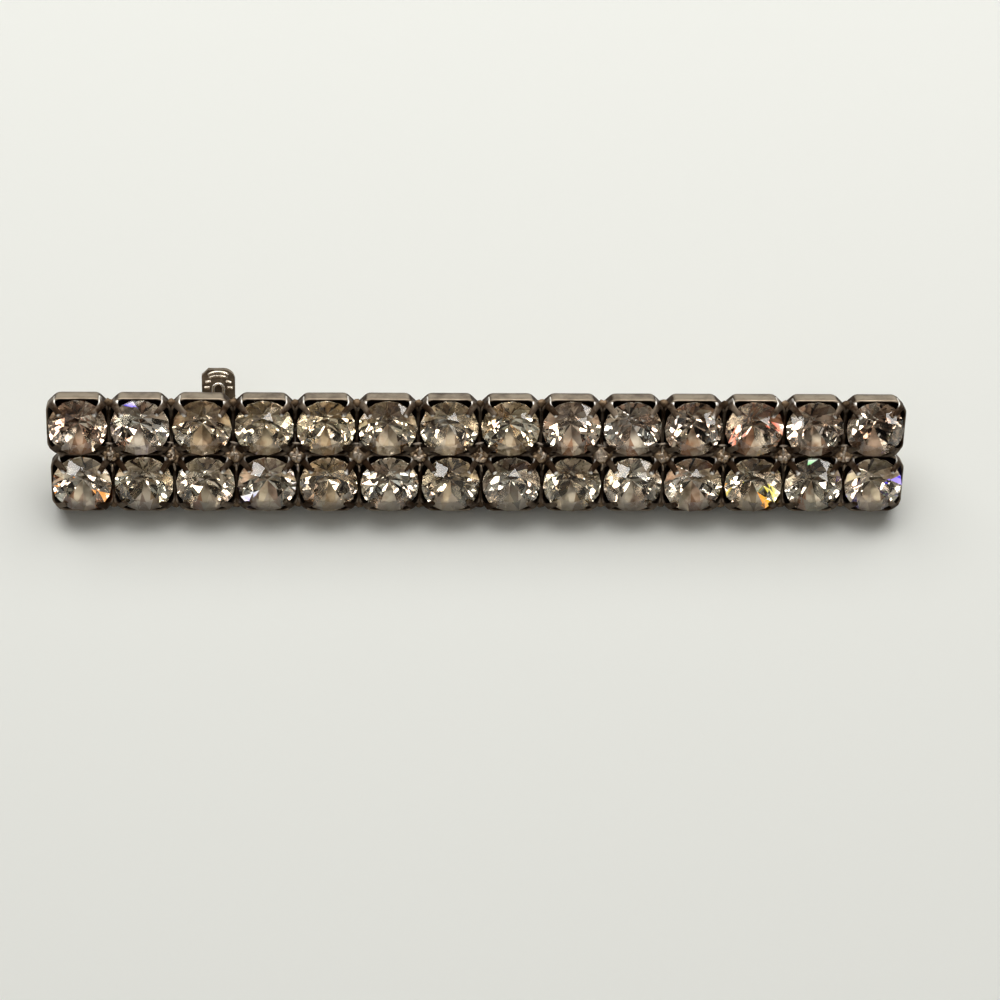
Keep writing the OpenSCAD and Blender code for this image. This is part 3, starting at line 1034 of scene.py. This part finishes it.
def slab(shell, outline, start, end, hole=None):
    """Adds a plate to a bmesh, between two offsets, with a hole of as many points or none."""
    count = len(outline)
    layers = []
    for offset in (start, end):
        layers.append([shell.verts.new(p + offset) for p in outline])
        if hole:
            layers[-1] += [shell.verts.new(p + offset) for p in hole]
    for k in range(count):
        j = (k + 1) % count
        shell.faces.new((layers[0][k], layers[0][j], layers[1][j], layers[1][k]))
        if hole:
            near, far = layers[0][count:], layers[1][count:]
            shell.faces.new((near[k], near[j], far[j], far[k]))
            for layer in layers:
                shell.faces.new((layer[k], layer[j], layer[count + j], layer[count + k]))
    if not hole:
        for layer in layers:
            shell.faces.new(layer)


def soften(shell, size, least):
    """Bevels the convex edges that are sharper than the least angle."""
    bmesh.ops.recalc_face_normals(shell, faces=shell.faces)
    edges = [e for e in shell.edges if len(e.link_faces) == 2]
    edges = [e for e in edges if e.calc_face_angle_signed(0) > least]
    bmesh.ops.bevel(
        shell, geom=edges, offset=size, segments=2, profile=0.5, affect="EDGES", clamp_overlap=True
    )


def steps(start, end, count):
    """Evenly spaced numbers from the start, with the end left out."""
    return [start + (end - start) * k / count for k in range(count)]


def arc(radius, start, end, count):
    """Points round the pin, between angles in degrees from up the face and turning backwards."""
    angles = [math.radians(a) for a in (*steps(start, end, count), end)]
    return [
        Vector((0, PIN_LINE.y + radius * math.cos(a), PIN_LINE.z - radius * math.sin(a)))
        for a in angles
    ]


def back_grime(point):
    """How dark the fittings on the back are: browner near the cups and lighter towards the pin."""
    return 0.25 + 0.35 * ease(point.z, -4.2, -2.3)


class BROOCH_OT_fittings(bpy.types.Operator):
    """Solders the catch's housing and the hinge bracket on the back"""

    bl_idname = "brooch.fittings"
    bl_label = "Back fittings"

    def execute(self, context):
        sizes = context.scene.brooch_back
        back = -context.scene.brooch_cups.depth
        pad_middle = Vector((sizes.catch_x, PIN_LINE.y, back - sizes.pad_thickness / 2))
        pad_half = Vector((sizes.pad, sizes.pad, sizes.pad_thickness)) / 2

        # The housing: a round channel that is open towards the upper edge, on its neck
        shell = bmesh.new()
        neck = math.degrees(math.asin(sizes.neck / 2 / sizes.housing_radius))
        outline = arc(sizes.housing_radius, 115, 270 - neck, 18)
        for side in (-1, 1):
            outline.append(Vector((0, PIN_LINE.y + side * sizes.neck / 2, pad_middle.z)))
        outline += arc(sizes.housing_radius, 270 + neck, 335, 6)
        outline += arc(sizes.bore_radius, 335, 115, 30)
        start = Vector((sizes.catch_x - sizes.housing_width / 2, 0, 0))
        slab(shell, outline, start, start + Vector((sizes.housing_width, 0, 0)))
        box_mesh(shell, pad_middle, pad_half)
        soften(shell, 0.07 * MM, math.radians(40))
        dress_setting(shell_object("catch_housing", shell), worn_metal(), grime=back_grime)

        # The hinge: two ears, square towards the cups and round beyond the rivet
        shell = bmesh.new()
        x = sizes.hinge_x
        side = sizes.ear_radius
        rise = back - PIN_LINE.z - sizes.pad_thickness / 2
        corner = math.atan2(rise, side)
        angles = steps(0, corner, 6) + steps(corner, math.pi - corner, 8)
        angles += steps(math.pi - corner, math.pi, 6) + steps(math.pi, 2 * math.pi, 20)
        outline = []
        hole = []
        for a in angles:
            reach = side
            if a < math.pi:
                reach = min(side / max(abs(math.cos(a)), 1e-6), rise / max(math.sin(a), 1e-6))
            for ring, radius in ((outline, reach), (hole, sizes.ear_hole)):
                up, out = radius * math.sin(a), radius * math.cos(a)
                ring.append(Vector((x + out, 0, PIN_LINE.z + up)))
        for way in (-1, 1):
            near = PIN_LINE.y + way * sizes.ear_space / 2
            far = near + way * sizes.ear_thickness
            slab(shell, outline, Vector((0, near, 0)), Vector((0, far, 0)), hole)
        pad_middle.x = x
        box_mesh(shell, pad_middle, pad_half)
        soften(shell, 0.06 * MM, math.radians(40))
        dress_setting(shell_object("hinge_bracket", shell), worn_metal(), grime=back_grime)
        return {"FINISHED"}


def lever_rub(point):
    """Painted highlights on the lever: on the ridges of its tab, and brightest round the window."""
    sizes = bpy.context.scene.brooch_back
    window = Vector((sizes.catch_x, PIN_LINE.y)) / MM + Vector((0, 2.0))
    front = PIN_LINE.z / MM
    raised = ease(point.z, front + 0.22, front + 0.27)
    return raised * (1.0 if (point.xy - window).length < 0.62 else 0.25)


def lever_grime(point):
    """How dark the lever is: lighter on the ridges of its tab and brown in the hollows."""
    front, middle_y = PIN_LINE.z / MM, PIN_LINE.y / MM
    hollow = 0.6 * (1 - ease(point.z, front + 0.22, front + 0.3))
    return between(0.35, hollow, ease(point.y, middle_y + 1.5, middle_y + 1.7))


class BROOCH_OT_catch(bpy.types.Operator):
    """Finishes the catch's lever and the pin"""

    bl_idname = "brooch.catch"
    bl_label = "Catch and pin"

    def execute(self, context):
        finish = context.scene.brooch_finish
        sizes = context.scene.brooch_back
        shell = bmesh.new()
        shell.from_mesh(frame["nodes"]["catch_lever"].data)
        bmesh.ops.remove_doubles(shell, verts=shell.verts, dist=1e-7)
        bmesh.ops.transform(shell, matrix=FACE_BACK, verts=shell.verts)
        soften(shell, 0.03 * MM, math.radians(35))
        # A dark plate behind the tab's window: painted shade, where the window shows only the shade
        # behind the tab
        shade_plate = Vector((sizes.catch_x, PIN_LINE.y + 2.05 * MM, PIN_LINE.z - 0.16 * MM))
        half = Vector((0.3, 0.4, 0.04)) * MM
        box_mesh(shell, shade_plate, half)
        lever = lay(shell_object("lever_worn", shell), grime=lever_grime, rub=lever_rub)
        plating = metal_material("lever_plating", finish.lever, finish.tarnish_and_shade)
        dress(lever, plating, LEVER, "tarnished_metal", "catch_lever")
        wire = metal_material("pin_wire", finish.steel, finish.tarnish_and_shade, 0.1)
        coat(frame["nodes"]["pin_stem"], wire)
        return {"FINISHED"}


def set_camera(view):
    """Aims the camera at the face, with the face's middle at its place in the picture."""
    _, face_up, face_out = FACE.to_3x3().col
    lean = view.off_normal
    up = face_up * math.cos(lean) - face_out * math.sin(lean)
    towards = face_out * math.cos(lean) + face_up * math.sin(lean)
    towards = Matrix.Rotation(-view.yaw, 3, up) @ towards
    up = Matrix.Rotation(view.roll, 3, towards) @ up
    right = up.cross(towards)
    per_px = view.distance * view.sensor / view.lens / PICTURE
    shift = right * (PICTURE / 2 - view.middle_x) - up * (PICTURE / 2 - view.middle_y)
    data = bpy.data.cameras.new("camera")
    data.lens = view.lens
    data.sensor_width = view.sensor
    camera = link(bpy.data.objects.new("camera", data))
    place = Matrix.Translation(FACE.translation + towards * view.distance + shift * per_px)
    camera.matrix_world = place @ Matrix((right, up, towards)).transposed().to_4x4()
    bpy.context.scene.camera = camera
    return camera


def area_light(name, place, size, power, color):
    """A soft light that looks at the middle of the scene."""
    lamp = bpy.data.lights.new(name, "AREA")
    lamp.shape = "RECTANGLE"
    lamp.size, lamp.size_y = size
    lamp.energy = power
    lamp.color = color
    holder = link(bpy.data.objects.new(name, lamp))
    holder.location = place
    holder.rotation_euler = (-place).to_track_quat("-Z", "Y").to_euler()
    return holder


# Stops of the room's light, from its dark patches to its bright ones
ROOM = (
    (0.0, (0.02, 0.018, 0.015)), (0.4, (0.05, 0.045, 0.04)), (0.46, (0.2, 0.185, 0.165)),
    (0.53, (0.42, 0.4, 0.36)), (0.6, (0.75, 0.73, 0.7)), (0.68, (1.0, 0.99, 0.97)),
)


def studio_world(stage):
    """A room of soft bright and dark patches, which the stones' facets break up."""
    world = bpy.data.worlds.new("studio")
    world.use_nodes = True
    t = Tree(world.node_tree)
    way = t.add("ShaderNodeTexCoord").outputs["Generated"]
    height = t.add("ShaderNodeSeparateXYZ", {0: way}).outputs["Z"]
    brightness = (0.35 * stage.room, stage.room)
    t.fill(world.node_tree.nodes["Background"], {
        "Color": t.ramp(t.noise(way, stage.patch_scale, 1.5, Distortion=0.6), ROOM),
        "Strength": t.remap(height, 0.15, 0.95, *brightness, interpolation_type="SMOOTHSTEP"),
    })
    return world


# The lamps' distance in m, and the colours of the windows and the lamps
LAMP_DISTANCE = 0.5
DAYLIGHT = (1, 0.99, 0.97)
WARM_LIGHT = (1, 0.98, 0.95)
# Small lamps: degrees from the camera's direction, degrees round it, size in m, power, colour
LAMPS = (
    (30, 22, 0.09, 0.4, DAYLIGHT),
    (33, 157, 0.09, 0.4, DAYLIGHT),
    (25, 325, 0.02, 0.02, DAYLIGHT),
    (27, 215, 0.02, 0.02, DAYLIGHT),
    (42, 348, 0.05, 0.1, (1, 0.97, 0.93)),
    (45, 192, 0.05, 0.1, (1, 0.97, 0.93)),
    (38, 98, 0.05, 0.05, (0.96, 0.98, 1)),
    (52, 32, 0.04, 0.08, WARM_LIGHT),
    (55, 148, 0.04, 0.08, WARM_LIGHT),
    (62, 5, 0.05, 0.1, DAYLIGHT),
    (62, 175, 0.05, 0.1, DAYLIGHT),
    (21, 44, 0.07, 0.25, WARM_LIGHT),
    (21, 137, 0.07, 0.25, WARM_LIGHT),
    (52, 255, 0.05, 0.05, WARM_LIGHT),
    (55, 290, 0.04, 0.04, WARM_LIGHT),
    (74, 40, 0.1, 0.4, WARM_LIGHT),
    (16, 300, 0.04, 0.08, WARM_LIGHT),
    (14, 358, 0.06, 0.15, WARM_LIGHT),
    (14, 240, 0.04, 0.08, WARM_LIGHT),
)


class BROOCH_OT_stage(bpy.types.Operator):
    """Sets the floor, the lights and the camera"""

    bl_idname = "brooch.stage"
    bl_label = "Stage"

    def execute(self, context):
        scene = context.scene
        finish = scene.brooch_finish
        stage = scene.brooch_stage
        wide = 0.6
        corners = [(-wide, -wide, 0), (wide, -wide, 0), (wide, wide, 0), (-wide, wide, 0)]
        floor = mesh_object("floor", corners, [(0, 1, 2, 3)])
        paper = {"Base Color": (*finish.floor, 1), "Roughness": 0.9, "Specular IOR Level": 0.1}
        floor.data.materials.append(new_material("pale_floor", paper)[0])
        scene.world = studio_world(stage)
        view = set_camera(scene.brooch_view).matrix_world.to_3x3()
        for name, way in (("window_left", -1), ("window_right", 1)):
            turn, rise = way * stage.key_spread, stage.key_rise
            across, away = math.sin(turn) * math.cos(rise), math.cos(turn) * math.cos(rise)
            place = Vector((across, away, math.sin(rise))) * stage.key_distance
            area_light(name, place, (0.34, 0.32), stage.key_power / 2, DAYLIGHT)
        for k, (off, clock, size, power, color) in enumerate(LAMPS):
            off, clock = math.radians(off), math.radians(clock)
            right, up = math.sin(off) * math.cos(clock), math.sin(off) * math.sin(clock)
            place = view @ Vector((right, up, math.cos(off))) * LAMP_DISTANCE
            lamp = area_light(f"lamp_{k}", place, (size, size), power * stage.lamps, color)
            lamp.visible_diffuse = False
        scene.view_settings.view_transform = "Standard"
        return {"FINISHED"}


class BROOCH_PT_panel(bpy.types.Panel):
    """Lists the steps"""

    bl_label = "Bar Brooch"
    bl_idname = "BROOCH_PT_panel"
    bl_space_type = "VIEW_3D"
    bl_region_type = "UI"
    bl_category = "Brooch"

    def draw(self, context):
        for name in GROUPS:
            group = getattr(context.scene, name)
            box = self.layout.box()
            for key in GROUPS[name].__annotations__:
                box.prop(group, key)
        for step in STEPS:
            self.layout.operator(step.bl_idname)


STEPS = (
    BROOCH_OT_stage,
    BROOCH_OT_cups,
    BROOCH_OT_prongs,
    BROOCH_OT_solder,
    BROOCH_OT_fittings,
    BROOCH_OT_foils,
    BROOCH_OT_stones,
    BROOCH_OT_catch,
)
GROUPS = {
    "brooch_cups": BroochCups,
    "brooch_prongs": BroochProngs,
    "brooch_solder": BroochSolder,
    "brooch_back": BroochBack,
    "brooch_stage": BroochStage,
    "brooch_finish": BroochFinish,
    "brooch_view": BroochView,
}


def register():
    for made in (*GROUPS.values(), *STEPS, BROOCH_PT_panel):
        bpy.utils.register_class(made)
    for key, group in GROUPS.items():
        setattr(bpy.types.Scene, key, PointerProperty(type=group))


def unregister():
    for key in GROUPS:
        delattr(bpy.types.Scene, key)
    for made in (BROOCH_PT_panel, *reversed(STEPS), *GROUPS.values()):
        bpy.utils.unregister_class(made)


def main():
    register()
    for step in STEPS:
        prefix, action = step.bl_idname.split(".")
        getattr(getattr(bpy.ops, prefix), action)()


if __name__ == "__main__":
    main()
